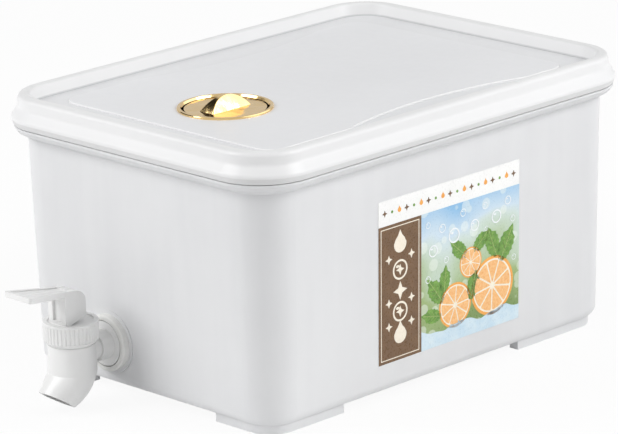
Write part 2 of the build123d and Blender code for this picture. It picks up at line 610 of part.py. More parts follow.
def valve_plug():
    """Soft plug on the stem's end that closes the seat."""
    foot_z = SEAT_Z + PLUG_DISC_HEIGHT - STEM_TIP_DEPTH / 2
    plug = tube(PLUG_DISC_RADIUS, 0, SEAT_Z, SEAT_Z + PLUG_DISC_HEIGHT)
    plug += tube(PLUG_HUB_RADIUS, 0, SEAT_Z, SEAT_Z + PLUG_HUB_HEIGHT)
    plug += loft([Pos(0, 0, SEAT_Z) * Circle(PLUG_NOSE_RADIUS),
                  Pos(0, 0, SEAT_Z - PLUG_NOSE_DEPTH) * Circle(PLUG_NOSE_TIP_RADIUS)])
    plug -= tube(STEM_RADIUS + PLUG_HOLE_FIT, 0, foot_z, SEAT_Z + PLUG_HUB_HEIGHT + OVER)
    return Pos(TAP_X, BARREL_Y, 0) * plug


def valve_spring():
    """Return spring between the plug and the bonnet, round the guide sleeve."""
    low = SEAT_Z + PLUG_DISC_HEIGHT + SPRING_END_GAP + SPRING_WIRE_RADIUS
    high = BONNET_UNDER_Z - SPRING_END_GAP - SPRING_WIRE_RADIUS
    coil = Helix(pitch=(high - low) / SPRING_TURNS, height=high - low, radius=SPRING_RADIUS)
    wire_face = Plane(origin=coil @ 0, z_dir=coil % 0) * Circle(SPRING_WIRE_RADIUS)
    return Pos(TAP_X, BARREL_Y, low) * sweep(wire_face, path=coil)


def lever_profile():
    """Side view of the lever: (distance behind the stem, height) points from tip to heel."""
    slope = (PADDLE_TIP_TOP_Z - PADDLE_ROOT_TOP_Z) / PADDLE_REACH
    front_top = PADDLE_ROOT_TOP_Z + slope * HUB_FRONT
    back_top = PADDLE_ROOT_TOP_Z - slope * HUB_BACK
    points = (
        (-PADDLE_REACH, PADDLE_TIP_TOP_Z),
        (HUB_BACK, back_top),
        (HUB_BACK, BONNET_FLOOR_Z + HEEL_SLANT_RISE),
        (-HUB_FRONT + HEEL_FLAT, BONNET_FLOOR_Z),
        (-HUB_FRONT, BONNET_FLOOR_Z),
        (-HUB_FRONT, front_top - PADDLE_THICKNESS),
        (-PADDLE_REACH, PADDLE_TIP_TOP_Z - PADDLE_THICKNESS),
    )
    face = make_face(Polyline(*[(0, y, z) for y, z in points], close=True))
    corner = face.vertices().sort_by_distance((0, HUB_BACK, back_top))[0]
    return fillet(corner, HUB_BACK_RADIUS)


def lever_plan(inset):
    """Plan view of the lever: the paddle narrows to the hub."""
    tip = PADDLE_TIP_HALF_WIDTH - inset
    hub = HUB_HALF_WIDTH - inset
    face = make_face(Polyline((-tip, -PADDLE_REACH + inset), (-hub, -HUB_FRONT), (-hub, HUB_BACK - inset),
                              (hub, HUB_BACK - inset), (hub, -HUB_FRONT), (tip, -PADDLE_REACH + inset),
                              close=True))
    tips = face.vertices().group_by(Axis.Y)[0]
    return fillet(tips, PADDLE_CORNER_RADIUS)


def tap_lever():
    """Paddle and hub in one, with a sunk top, a pocket for the stem and sockets for the cross pin."""
    low_z = BONNET_FLOOR_Z - OVER
    height = PADDLE_TIP_TOP_Z - low_z + OVER
    side = extrude(lever_profile(), 2 * PADDLE_TIP_HALF_WIDTH, both=True)
    lever = side & (Pos(0, 0, low_z) * extrude(lever_plan(0), height))
    sink = (Pos(0, 0, PADDLE_SINK) * side) - side
    sink = Pos(0, 0, -PADDLE_SINK) * sink
    reach = PADDLE_REACH - HUB_FRONT / 2
    across = 4 * PADDLE_TIP_HALF_WIDTH
    window = Pos(0, -PADDLE_REACH + reach / 2, low_z + height / 2) * Box(across, reach, height)
    panel = Pos(0, 0, low_z) * extrude(lever_plan(PADDLE_BORDER), height)
    above_z = PADDLE_ROOT_TOP_Z - PADDLE_SINK * 2
    upper = Pos(0, -PADDLE_REACH / 2, above_z + height / 2) * Box(across, 2 * PADDLE_REACH, height)
    lever -= sink & panel & window & upper
    pocket_low = BONNET_FLOOR_Z - OVER
    pocket_high = PIN_Z + POCKET_RISE
    pocket = Pos(0, (POCKET_BACK - POCKET_FRONT) / 2, (pocket_low + pocket_high) / 2)
    lever -= pocket * Box(2 * POCKET_HALF_WIDTH, POCKET_BACK + POCKET_FRONT, pocket_high - pocket_low)
    groove_height = FACE_GROOVE_HIGH - FACE_GROOVE_LOW
    groove = Pos(0, -HUB_FRONT, BONNET_FLOOR_Z + FACE_GROOVE_LOW + groove_height / 2)
    lever -= groove * Box(2 * FACE_GROOVE_HALF_WIDTH, 2 * FACE_GROOVE_DEPTH, groove_height)
    half_hole = PIN_HALF_LENGTH + PIN_END_GAP
    hole = Plane.YZ.offset(-half_hole) * extrude(Circle(PIN_RADIUS + PIN_LEVER_FIT), 2 * half_hole)
    lever -= Pos(0, 0, PIN_Z) * hole
    return Pos(TAP_X, BARREL_Y, 0) * lever


def lever_pin():
    """Cross pin through the stem's eye, its ends in blind sockets inside the lever."""
    pin = Plane.YZ.offset(-PIN_HALF_LENGTH) * extrude(Circle(PIN_RADIUS), 2 * PIN_HALF_LENGTH)
    return Pos(TAP_X, BARREL_Y, PIN_Z) * pin


MAKERS = (tub, side_label, lid, lid_seal, cap_cover, cap_plug, cap_o_ring, tap_body, outer_washer,
          inner_washer, lock_nut, tap_bonnet, bonnet_gasket, stem_seal, valve_stem, valve_plug,
          valve_spring, tap_lever, lever_pin)

pieces = {make.__name__: make() for make in MAKERS}

# The origin goes under the middle of the whole jug, between the lever's tip and the back of the lid
boxes = [piece.bounding_box() for piece in pieces.values()]
front_y = min(box.min.Y for box in boxes)
back_y = max(box.max.Y for box in boxes)
centre_shift = Pos(0, -(front_y + back_y) / 2, 0)

os.makedirs("parts", exist_ok=True)
for name, piece in pieces.items():
    placed = centre_shift * piece
    export_step(placed, os.path.join("parts", name + ".step"))
    box = placed.bounding_box()
    print(f"{name:14s} {len(placed.solids())} solid  volume {placed.volume:9.1f}"
          f"  low {box.min.X:7.2f} {box.min.Y:7.2f} {box.min.Z:6.2f}"
          f"  high {box.max.X:7.2f} {box.max.Y:7.2f} {box.max.Z:6.2f}")
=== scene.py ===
import math

import bmesh
import bpy
from mathutils import Matrix, Vector


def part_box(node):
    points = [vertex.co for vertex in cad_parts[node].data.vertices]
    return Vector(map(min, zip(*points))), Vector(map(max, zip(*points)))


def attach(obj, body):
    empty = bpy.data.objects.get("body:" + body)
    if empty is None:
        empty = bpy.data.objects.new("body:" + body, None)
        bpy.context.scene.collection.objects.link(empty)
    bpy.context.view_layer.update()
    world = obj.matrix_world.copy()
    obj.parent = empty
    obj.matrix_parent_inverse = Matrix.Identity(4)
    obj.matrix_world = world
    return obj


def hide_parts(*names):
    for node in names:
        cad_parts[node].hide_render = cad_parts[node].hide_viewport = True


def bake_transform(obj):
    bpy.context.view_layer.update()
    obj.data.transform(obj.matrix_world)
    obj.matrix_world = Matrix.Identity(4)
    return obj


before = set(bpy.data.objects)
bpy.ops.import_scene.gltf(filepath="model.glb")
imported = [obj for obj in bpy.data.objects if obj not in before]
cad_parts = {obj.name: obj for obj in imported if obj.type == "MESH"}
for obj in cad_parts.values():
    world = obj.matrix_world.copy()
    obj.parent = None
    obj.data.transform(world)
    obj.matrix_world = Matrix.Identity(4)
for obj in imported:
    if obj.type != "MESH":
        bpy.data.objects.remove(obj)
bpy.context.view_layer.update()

MM = 0.001

# The tub's middle along Y: the camera and the lamps are placed from it
TUB_LOW, TUB_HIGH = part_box("tub")
TUB_MID_Y = (TUB_LOW[1] + TUB_HIGH[1]) / 2

# The label's film, which the print lies on
LABEL_LOW, LABEL_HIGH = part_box("side_label")


# The photograph's camera

# Its eye, with Y counted from the tub's middle
CAMERA_EYE = (1.48500, -1.47232, 0.69756)
CAMERA_AZIMUTH = math.radians(45.408)
CAMERA_ELEVATION = math.radians(16.649)
CAMERA_ROLL = math.radians(-1.578)
CAMERA_LENS_MM = 234.07
SENSOR_MM = 36.0
CLIP_NEAR = 0.05
CLIP_FAR = 20


def place_camera():
    """The photograph's point of view."""
    a, e, roll = CAMERA_AZIMUTH, CAMERA_ELEVATION, CAMERA_ROLL
    back = Vector((math.sin(a) * math.cos(e), -math.cos(a) * math.cos(e), math.sin(e)))
    right = Vector((math.cos(a), math.sin(a), 0))
    up = Vector((-math.sin(a) * math.sin(e), math.cos(a) * math.sin(e), math.cos(e)))
    side = right * math.cos(roll) + up * math.sin(roll)
    top = up * math.cos(roll) - right * math.sin(roll)
    data = bpy.data.cameras.new("view_of_jug")
    data.lens = CAMERA_LENS_MM
    data.sensor_width = SENSOR_MM
    data.clip_start = CLIP_NEAR
    data.clip_end = CLIP_FAR
    camera = bpy.data.objects.new("view_of_jug", data)
    bpy.context.collection.objects.link(camera)
    matrix = Matrix((side, top, back)).transposed().to_4x4()
    matrix.translation = Vector(CAMERA_EYE) + Vector((0, TUB_MID_Y, 0))
    camera.matrix_world = matrix
    bpy.context.scene.camera = camera


# Helpers for materials and light

# Noise seldom leaves this range, so its tones are spread from here to there
NOISE_LOW = 0.3
NOISE_HIGH = 0.7


class Nodes:
    """A short way to build the node tree of a material or of the world."""

    def __init__(self, owner, output):
        owner.use_nodes = True
        self.tree = owner.node_tree
        self.tree.nodes.clear()
        self.out = self.add(output)
        self.coordinates = self.add("ShaderNodeTexCoord").outputs
        self.place = self.coordinates["Object"]

    def add(self, kind, **settings):
        node = self.tree.nodes.new(kind)
        for key, value in settings.items():
            setattr(node, key, value)
        return node

    def link(self, source, target):
        self.tree.links.new(source, target)

    def put(self, target, value):
        """Sets a socket to a plain value, or links it to another socket."""
        if hasattr(value, "links"):
            self.link(value, target)
        elif isinstance(value, (tuple, list)) and len(value) == 3 and len(target.default_value) == 4:
            target.default_value = (*value, 1)
        else:
            target.default_value = value

    def stretched(self, x, y, z):
        """The object's coordinates, each times a factor."""
        node = self.add("ShaderNodeMapping")
        self.link(self.place, node.inputs["Vector"])
        node.inputs["Scale"].default_value = (x, y, z)
        return node.outputs["Vector"]

    def noise(self, scale, detail, rough, vector=None, distortion=0):
        node = self.add("ShaderNodeTexNoise")
        self.link(vector or self.place, node.inputs["Vector"])
        node.inputs["Scale"].default_value = scale
        node.inputs["Detail"].default_value = detail
        node.inputs["Roughness"].default_value = rough
        node.inputs["Distortion"].default_value = distortion
        return node.outputs["Fac"]

    def span(self, value, low, high, to_low, to_high):
        node = self.add("ShaderNodeMapRange")
        self.link(value, node.inputs["Value"])
        node.inputs["From Min"].default_value = low
        node.inputs["From Max"].default_value = high
        node.inputs["To Min"].default_value = to_low
        node.inputs["To Max"].default_value = to_high
        return node.outputs["Result"]

    def fade(self, value, none_at, full_at):
        """From zero at one value to one at the other."""
        return self.span(value, none_at, full_at, 0, 1)

    def spread(self, noise, low=0, high=1):
        """Noise spread over the range from low to high."""
        return self.span(noise, NOISE_LOW, NOISE_HIGH, low, high)

    def math(self, operation, *values):
        node = self.add("ShaderNodeMath", operation=operation)
        for target, value in zip(node.inputs, values):
            self.put(target, value)
        return node.outputs[0]

    def both(self, a, b):
        return self.math("MULTIPLY", a, b)

    def mix(self, factor, a, b):
        """One colour into another."""
        node = self.add("ShaderNodeMix", data_type="RGBA")
        self.put(node.inputs[0], factor)
        self.put(node.inputs[6], a)
        self.put(node.inputs[7], b)
        return node.outputs[2]

    def axes(self):
        node = self.add("ShaderNodeSeparateXYZ")
        self.link(self.place, node.inputs[0])
        return node.outputs

    def normal_axes(self):
        node = self.add("ShaderNodeSeparateXYZ")
        self.link(self.coordinates["Normal"], node.inputs[0])
        return node.outputs

    def facing_up(self):
        """One where the surface looks straight up, zero where it stands, minus one where it looks down."""
        return self.normal_axes()["Z"]

    def facing_in(self):
        """One on walls that look towards the middle of the tub, zero on those that look away from it."""
        normal = self.normal_axes()
        place = self.axes()
        across = self.both(normal["X"], place["X"])
        along = self.both(normal["Y"], self.math("SUBTRACT", place["Y"], TUB_MID_Y))
        return self.fade(self.math("ADD", across, along), -0.01, -0.03)

    def bump(self, height, strength, distance, normal=None):
        node = self.add("ShaderNodeBump")
        self.link(height, node.inputs["Height"])
        node.inputs["Strength"].default_value = strength
        node.inputs["Distance"].default_value = distance
        if normal is not None:
            self.link(normal, node.inputs["Normal"])
        return node.outputs["Normal"]

    def principled(self, **values):
        """The surface shader. Names use underscores, so Coat_Weight sets Coat Weight."""
        node = self.add("ShaderNodeBsdfPrincipled")
        for key, value in values.items():
            self.put(node.inputs[key.replace("_", " ")], value)
        self.link(node.outputs[0], self.out.inputs["Surface"])

    def blend(self, share, shader, other):
        """A share of the other shader over the first."""
        node = self.add("ShaderNodeMixShader")
        for target, source in zip(node.inputs, (share, shader, other)):
            self.link(source, target)
        return node.outputs[0]

    def background(self, strength, grey):
        node = self.add("ShaderNodeBackground")
        self.put(node.inputs["Color"], (grey, grey, grey))
        self.put(node.inputs["Strength"], strength)
        return node.outputs[0]

    def sky_patch(self, towards, wide_deg, soft_deg):
        """One inside a round patch of the sky, fading to zero at its edge."""
        dot = self.add("ShaderNodeVectorMath", operation="DOT_PRODUCT")
        self.link(self.coordinates["Generated"], dot.inputs[0])
        dot.inputs[1].default_value = Vector(towards).normalized()
        fade = self.add("ShaderNodeMapRange", interpolation_type="SMOOTHSTEP")
        self.link(dot.outputs["Value"], fade.inputs["Value"])
        fade.inputs["From Min"].default_value = math.cos(math.radians(wide_deg + soft_deg))
        fade.inputs["From Max"].default_value = math.cos(math.radians(wide_deg))
        return fade.outputs["Result"]


def new_material(name):
    """A new material, and the means to build its nodes."""
    material = bpy.data.materials.new(name)
    return material, Nodes(material, "ShaderNodeOutputMaterial")


# Finishes

PLASTIC_IOR = 1.49
RUBBER_IOR = 1.43
INK_IOR = 1.46

# Heights on the lid by which its colour changes: painted shade and a painted highlight by zone, and a thin
# sunk floor
TROUGH_LEVEL = 146.9 * MM
PANEL_LEVEL = 147.9 * MM
LIP_LEVEL = 153.9 * MM
BULGE_LEVEL = 141.0 * MM

# The ridges along the top of the paddle
RIDGE_PITCH = 5.6 * MM
RIDGE_DEPTH = 0.6 * MM

# The soft round lights in the label's picture, per metre
LIGHTS_SCALE = 95


def frosted_tub_plastic():
    """Milky polypropylene: cloudy thickness, frosted skin, some light through the wall."""
    material, n = new_material("frosted_tub_plastic")
    cloud = n.noise(14, 3, 0.55)
    streaks = n.noise(60, 3, 0.6, n.stretched(1, 1, 0.08))
    tone = n.fade(n.math("ADD", cloud, streaks), 0.7, 1.3)
    colour = n.mix(tone, (0.865, 0.87, 0.885), (0.92, 0.925, 0.935))
    rough = n.spread(n.noise(160, 3, 0.6), 0.30, 0.42)
    grain = n.bump(n.noise(2600, 2, 0.6), 0.12, 0.00003)
    skin = n.bump(n.noise(28, 1, 0.4), 0.25, 0.0006, grain)
    n.principled(Base_Color=colour, Roughness=rough, Normal=skin, IOR=PLASTIC_IOR,
                 Transmission_Weight=0.22, Specular_IOR_Level=0.45)
    return material


def lid_plastic():
    """Whiter, thicker polypropylene, nearly opaque at the rim. Colours by height and facing: painted shade
    on the rim's upward-facing top band, in the channel round the panel, along the inner walls' foot and
    under the skirt's bulge; a painted highlight on the panel's edge; and a sunk floor that is dimmer partly
    for its thin wall and partly as painted shade.
    """
    material, n = new_material("lid_plastic")
    height = n.axes()["Z"]
    upward = n.facing_up()
    level = n.fade(upward, 0.90, 0.985)
    sloping = n.both(n.fade(upward, 0.98, 0.93), n.fade(upward, 0.35, 0.50))
    downward = n.fade(upward, -0.05, -0.25)

    cloud = n.spread(n.noise(11, 3, 0.5))
    rim = n.mix(cloud, (0.785, 0.787, 0.792), (0.82, 0.82, 0.825))
    # Painted shade: the rim's upward-facing top band is given a darker tone than the rest of the rim
    lip_painted_shade = n.mix(cloud, (0.745, 0.747, 0.75), (0.78, 0.782, 0.785))
    # The sunk floor is darker partly for its thin wall and partly as painted shade on a surface that looks
    # up
    floor = n.mix(cloud, (0.725, 0.73, 0.745), (0.76, 0.765, 0.78))
    # Painted shade in the channel round the panel, darker than the floor
    trough_painted_shade = n.mix(cloud, (0.69, 0.695, 0.71), (0.73, 0.735, 0.745))

    on_lip = n.both(n.fade(height, LIP_LEVEL - 2.4 * MM, LIP_LEVEL - 0.3 * MM), n.fade(upward, 0.25, 0.85))
    on_floor = n.both(n.fade(height, PANEL_LEVEL + 1.5 * MM, PANEL_LEVEL + 0.9 * MM), level)
    on_trough = n.both(n.fade(height, TROUGH_LEVEL + 0.4 * MM, TROUGH_LEVEL + 0.1 * MM), level)
    above_trough = n.fade(height, TROUGH_LEVEL + 0.3 * MM, TROUGH_LEVEL + 0.5 * MM)
    below_panel = n.fade(height, PANEL_LEVEL + 0.3 * MM, PANEL_LEVEL + 0.1 * MM)
    # Painted highlight along the panel's sloping edge
    painted_highlight_on_panel_edge = n.both(n.both(above_trough, below_panel), sloping)
    near_trough = n.fade(height, TROUGH_LEVEL + 1.2 * MM, TROUGH_LEVEL + 0.3 * MM)
    # Painted shade: a dark line along the foot of the inner walls, where they meet the channel
    painted_shade_at_inner_foot = n.both(near_trough, n.facing_in())
    # Painted shade on the skirt where it turns under below its bulge
    painted_shade_under_bulge = n.both(n.fade(height, BULGE_LEVEL + 0.1 * MM, BULGE_LEVEL - 0.4 * MM), downward)

    colour = n.mix(on_lip, rim, lip_painted_shade)
    colour = n.mix(on_floor, colour, floor)
    colour = n.mix(on_trough, colour, trough_painted_shade)
    # Painted highlight on the panel's edge
    colour = n.mix(painted_highlight_on_panel_edge, colour, (0.87, 0.87, 0.875))
    # Painted shade at the inner walls' foot
    colour = n.mix(painted_shade_at_inner_foot, colour, (0.56, 0.565, 0.575))
    # Painted shade under the bulge
    colour = n.mix(painted_shade_under_bulge, colour, (0.70, 0.702, 0.705))
    rough = n.spread(n.noise(190, 3, 0.6), 0.30, 0.42)
    grain = n.bump(n.noise(2400, 2, 0.6), 0.10, 0.00003)
    skin = n.bump(n.noise(24, 1, 0.4), 0.2, 0.0006, grain)
    n.principled(Base_Color=colour, Roughness=rough, Normal=skin, IOR=PLASTIC_IOR,
                 Specular_IOR_Level=0.45)
    return material


def moulded_white(name, low, high, rough_low, rough_high, coat=0.0):
    """Glossy or satin moulded plastic with faint flow marks."""
    material, n = new_material(name)
    flow = n.noise(60, 3, 0.5, n.stretched(1, 1, 0.35), 0.6)
    colour = n.mix(n.spread(flow), low, high)
    rough = n.spread(n.noise(150, 2, 0.5), rough_low, rough_high)
    grain = n.bump(n.noise(1500, 2, 0.5), 0.05, 0.00001)
    skin = n.bump(flow, 0.06, 0.0002, grain)
    n.principled(Base_Color=colour, Roughness=rough, Normal=skin, IOR=PLASTIC_IOR, Coat_Weight=coat,
                 Coat_Roughness=0.22)
    return material


def lever_plastic():
    """Glossy white as the tap is, with fine ridges along the top of the paddle, given painted shade in their
    grooves and a painted highlight on their crests.
    """
    material, n = new_material("lever_plastic")
    flow = n.noise(60, 3, 0.5, n.stretched(1, 0.35, 1), 0.6)
    on_top = n.fade(n.facing_up(), 0.80, 0.95)
    swell = n.math("SINE", n.math("MULTIPLY", n.axes()["X"], 2 * math.pi / RIDGE_PITCH))
    ridges = n.both(n.fade(swell, -1, 1), on_top)
    # Painted shade and highlight: the paddle's colour follows the ridges, lighter on the crests and darker
    # in the grooves
    tone = n.math("ADD", n.spread(flow, 0, 0.4), n.math("MULTIPLY", ridges, 0.6))
    colour = n.mix(tone, (0.82, 0.82, 0.815), (0.92, 0.92, 0.915))
    rough = n.spread(n.noise(150, 2, 0.5), 0.30, 0.40)
    skin = n.bump(ridges, 1.0, RIDGE_DEPTH, n.bump(flow, 0.06, 0.0002))
    n.principled(Base_Color=colour, Roughness=rough, Normal=skin, IOR=PLASTIC_IOR, Coat_Weight=0.3,
                 Coat_Roughness=0.16)
    return material


def gold_metallised():
    """Bright vacuum-metallised gold, a little uneven, with a fine grain."""
    material, n = new_material("gold_metallised")
    colour = n.mix(n.spread(n.noise(120, 2, 0.5)), (0.85, 0.605, 0.275), (0.89, 0.645, 0.315))
    rough = n.spread(n.noise(700, 3, 0.6), 0.10, 0.18)
    grain = n.bump(n.noise(900, 2, 0.5), 0.6, 0.00004)
    skin = n.bump(n.noise(95, 1, 0.4), 0.8, 0.0009, grain)
    n.principled(Base_Color=colour, Metallic=1.0, Roughness=rough, Normal=skin)
    return material


def soft_rubber(name, low, high):
    """Pale rubber with a dull, slightly mottled skin."""
    material, n = new_material(name)
    colour = n.mix(n.spread(n.noise(220, 3, 0.6)), low, high)
    rough = n.spread(n.noise(800, 2, 0.6), 0.55, 0.7)
    skin = n.bump(n.noise(1800, 2, 0.6), 0.15, 0.00004)
    n.principled(Base_Color=colour, Roughness=rough, Normal=skin, IOR=RUBBER_IOR)
    return material


def spring_wire():
    """Plain drawn stainless wire."""
    material, n = new_material("spring_wire")
    colour = n.mix(n.spread(n.noise(900, 2, 0.5)), (0.55, 0.56, 0.58), (0.70, 0.71, 0.72))
    rough = n.spread(n.noise(2400, 2, 0.6), 0.2, 0.34)
    skin = n.bump(n.noise(4000, 1, 0.5), 0.1, 0.00001)
    n.principled(Base_Color=colour, Metallic=1.0, Roughness=rough, Normal=skin)
    return material


def ink_on_film(n, colour):
    """The gloss of printed film, with the fine grain of the print."""
    gloss = n.spread(n.noise(900, 2, 0.5), 0.25, 0.35)
    skin = n.bump(n.noise(1500, 2, 0.5), 0.08, 0.00002)
    n.principled(Base_Color=colour, Roughness=gloss, Normal=skin, IOR=INK_IOR)


def printed(name, low, high, scale=260):
    """Ink on glossy film, a little uneven in tone."""
    material, n = new_material(name)
    ink_on_film(n, n.mix(n.spread(n.noise(scale, 3, 0.6)), low, high))
    return material


def printed_garden():
    """The picture's ground: sky above, leaves below, and soft round lights out of focus."""
    material, n = new_material("printed_garden")
    drift = n.spread(n.noise(22, 2, 0.5), -0.16, 0.16)
    height = n.math("ADD", n.fade(n.axes()["Z"], LABEL_LOW[2], LABEL_HIGH[2]), drift)
    sky = n.mix(n.fade(height, 0.55, 0.9), (0.70, 0.80, 0.86), (0.27, 0.52, 0.78))
    ground = n.mix(n.fade(height, 0.1, 0.5), (0.20, 0.30, 0.10), (0.42, 0.55, 0.25))
    colour = n.mix(n.fade(height, 0.36, 0.62), ground, sky)
    cells = n.add("ShaderNodeTexVoronoi", voronoi_dimensions="3D", feature="F1")
    n.link(n.stretched(0, 1, 1), cells.inputs["Vector"])
    cells.inputs["Scale"].default_value = LIGHTS_SCALE
    lights = n.span(cells.outputs["Distance"], 0.34, 0.30, 0, 0.38)
    ink_on_film(n, n.mix(lights, colour, (0.90, 0.95, 0.88)))
    return material


def finish_nodes():
    """Every carried-over node gets its finish."""
    tub = frosted_tub_plastic()
    lid = lid_plastic()
    gold = gold_metallised()
    tap = moulded_white("tap_plastic", (0.82, 0.82, 0.815), (0.86, 0.86, 0.855), 0.34, 0.44, 0.25)
    lever = lever_plastic()
    plug = moulded_white("cap_plug_plastic", (0.88, 0.88, 0.87), (0.92, 0.92, 0.91), 0.34, 0.46)
    seal = soft_rubber("pale_silicone", (0.84, 0.84, 0.82), (0.90, 0.90, 0.88))
    washer = soft_rubber("washer_rubber", (0.78, 0.78, 0.76), (0.84, 0.84, 0.82))
    wire = spring_wire()
    film = printed("label_film", (0.90, 0.90, 0.89), (0.94, 0.94, 0.93), 70)
    finishes = {
        "tub": tub, "lid": lid, "cap_cover": gold, "cap_plug": plug, "cap_o_ring": seal, "lid_seal": seal,
        "tap_body": tap, "tap_bonnet": tap, "lock_nut": tap, "valve_stem": tap, "tap_lever": lever,
        "outer_washer": washer, "inner_washer": washer, "bonnet_gasket": seal, "stem_seal": seal,
        "valve_plug": seal, "valve_spring": wire, "lever_pin": wire, "side_label": film,
    }
    for name, material in finishes.items():
        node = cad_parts[name]
        node.data.materials.clear()
        node.data.materials.append(material)


# Helpers for modelling

def nothing_selected():
    bpy.ops.object.select_all(action="DESELECT")


def start_edit(shape):
    """Edit mode on one shape, with all of it unselected."""
    nothing_selected()
    bpy.context.view_layer.objects.active = shape
    shape.select_set(True)
    bpy.ops.object.mode_set(mode="EDIT")
    bpy.ops.mesh.select_all(action="DESELECT")


def end_edit():
    bpy.ops.object.mode_set(mode="OBJECT")


def pick(shape, kind, test):
    """Selects the faces, edges or corners that pass the test, and nothing else."""
    bpy.context.tool_settings.mesh_select_mode = (kind == "verts", kind == "edges", kind == "faces")
    bpy.ops.mesh.select_all(action="DESELECT")
    cage = bmesh.from_edit_mesh(shape.data)
    for element in getattr(cage, kind):
        element.select_set(bool(test(element)))
    cage.select_flush_mode()
    bmesh.update_edit_mesh(shape.data)


def wears(shape, *materials):
    for material in materials:
        shape.data.materials.append(material)


def paint_picked(shape, index):
    """Gives the selected faces the shape's material of that number."""
    shape.active_material_index = index
    bpy.ops.object.material_slot_assign()


# The tap's spring

WELD_REACH = 0.001 * MM


def tap_spring():
    """The tap's return spring, copied from its node and welded into one smooth mesh. In the tap its foot
    rises with the stem while its head stays under the bonnet; this copy stands still.
    """
    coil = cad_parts["valve_spring"].copy()
    coil.data = coil.data.copy()
    coil.name = "tap_spring_coil"
    coil.data.name = "tap_spring_coil"
    coil.parent = None
    coil.matrix_world = Matrix.Identity(4)
    # The marks of the carried-over node don't hold for its copy
    for key in list(coil.keys()):
        del coil[key]
    bpy.context.collection.objects.link(coil)
    start_edit(coil)
    bpy.ops.mesh.select_all(action="SELECT")
    bpy.ops.mesh.remove_doubles(threshold=WELD_REACH)
    bpy.ops.mesh.faces_shade_smooth()
    end_edit()
    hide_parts("valve_spring")
    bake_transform(coil)


# The label's print

# The print is drawn flat, with X along the jug, Y up the wall and Z out of it, and then laid on the film.
WALL_LEAN = math.radians(1.5)
LAYER = 0.08 * MM
SUNK = 0.05 * MM
LABEL_MARGIN = 0.1 * MM
HALF_RUN = (LABEL_HIGH[1] - LABEL_LOW[1]) / 2
HALF_RISE = (LABEL_HIGH[2] - LABEL_LOW[2]) / 2 - LABEL_MARGIN
BAND_END = -22 * MM
STRIP_FOOT = 31 * MM
BORDER_IN = 1.6 * MM
BORDER_WIDTH = 0.5 * MM
CORNER_ROUND = 0.3 * MM

# The picture's motifs: lengths and places in millimetres from the label's middle, turns in degrees

# Radius, x, y, turn
SLICES = ((16.5, 33, -21, 8), (12.5, 4, -25, 25), (8.5, 16, -4, 0))
SLICE_WEDGES = 9

# The leaf's half width and its veins' lengths are shares of the leaf's and of the vein's own length
LEAF_LENGTH = 18
LEAF_HALF_WIDTH = 0.30
LEAF_VEINS = (0.95, 1.0, 0.85, 0.6)
VEIN_TURN = 48
# x, y, turn, size
LEAVES = ((-11, -14, 128, 1.0), (-14, -27, 168, 0.8), (18, -17, 75, 0.9), (44, 0, 62, 1.1),
          (33, 3, 112, 1.0), (7, 5, 140, 0.85), (24, 6, 40, 0.8), (-4, -9, 84, 0.8))

# x, y, radius
BUBBLE_RADIUS = 3
BUBBLES = ((-13, 9, 3.0), (-6, 20, 2.2), (3, 14, 3.8), (10, 25, 2.0), (19, 16, 3.0), (27, 25, 1.8),
           (36, 17, 3.4), (45, 24, 2.2), (49, 13, 1.7), (-17, 24, 1.6), (-3, 2, 1.7), (50, -9, 1.5),
           (-17, -6, 1.8), (28, 12, 1.3))

# The water's rise, and the height and length of each swell along its top
WATER_RISE = 9
SWELLS = ((1.5, 5.2), (0.5, 2.1))
WAVE_CUTS = 40

# A drop's three steps: from this share of its height up it narrows to a share and rises by one of its radius
DROP_STEPS = ((0.25, 0.88, 0.10), (0.6, 0.62, 0.22), (0.92, 0.1, 0.45))

# The marks down the band, in millimetres from its middle line: y of drops and rings, x, y and size of glints
BAND_DROPS = (19, -31)
BAND_RINGS = (5, -18)
BAND_GLINTS = ((0, -6.5, 1), (-8.5, 12, 0.5), (8.5, 12, 0.5), (-8.5, -12, 0.5), (8.5, -12, 0.5),
               (-8.5, -25, 0.5), (8.5, -25, 0.5), (0, 5, 0.6), (0, -18, 0.6))

# The row of marks along the strip
STRIP_MARKS = 19
STRIP_PITCH = 5.5


def disc(radius, sides, level, x=0.0, y=0.0):
    """A round plate that stands on the given layer of the print."""
    low = level * LAYER - SUNK
    high = (level + 1) * LAYER
    bpy.ops.mesh.primitive_cylinder_add(vertices=sides, radius=radius, depth=high - low,
                                        location=(x, y, (low + high) / 2))
    bpy.ops.object.transform_apply(location=True, rotation=True, scale=True)
    return bpy.context.object


def plate(low_x, low_y, high_x, high_y, level, rounded=True):
    """A rectangular plate on the given layer, with its corners a little rounded."""
    low = level * LAYER - SUNK
    high = (level + 1) * LAYER
    middle = ((low_x + high_x) / 2, (low_y + high_y) / 2, (low + high) / 2)
    span = (high_x - low_x, high_y - low_y, high - low)
    bpy.ops.mesh.primitive_cube_add(size=1, location=middle, scale=span)
    bpy.ops.object.transform_apply(location=True, rotation=True, scale=True)
    shape = bpy.context.object
    if rounded:
        start_edit(shape)
        pick(shape, "edges", lambda e: abs(e.verts[0].co.z - e.verts[1].co.z) > LAYER / 2)
        bpy.ops.mesh.bevel(offset=CORNER_ROUND, segments=3, affect="EDGES")
        end_edit()
    return shape


def top_face(face):
    """True for faces that look out of the wall."""
    return face.normal.z > 0.9


def twin(shape, x, y, turn_deg=0.0, size=1.0):
    """A copy with its own mesh, turned and moved over the label."""
    copy = shape.copy()
    copy.data = shape.data.copy()
    bpy.context.collection.objects.link(copy)
    copy.data.transform(Matrix.Translation((x, y, 0)) @ Matrix.Rotation(math.radians(turn_deg), 4, "Z")
                        @ Matrix.Diagonal((size, size, 1, 1)))
    return copy


def discard(*shapes):
    for shape in shapes:
        bpy.data.objects.remove(shape, do_unlink=True)


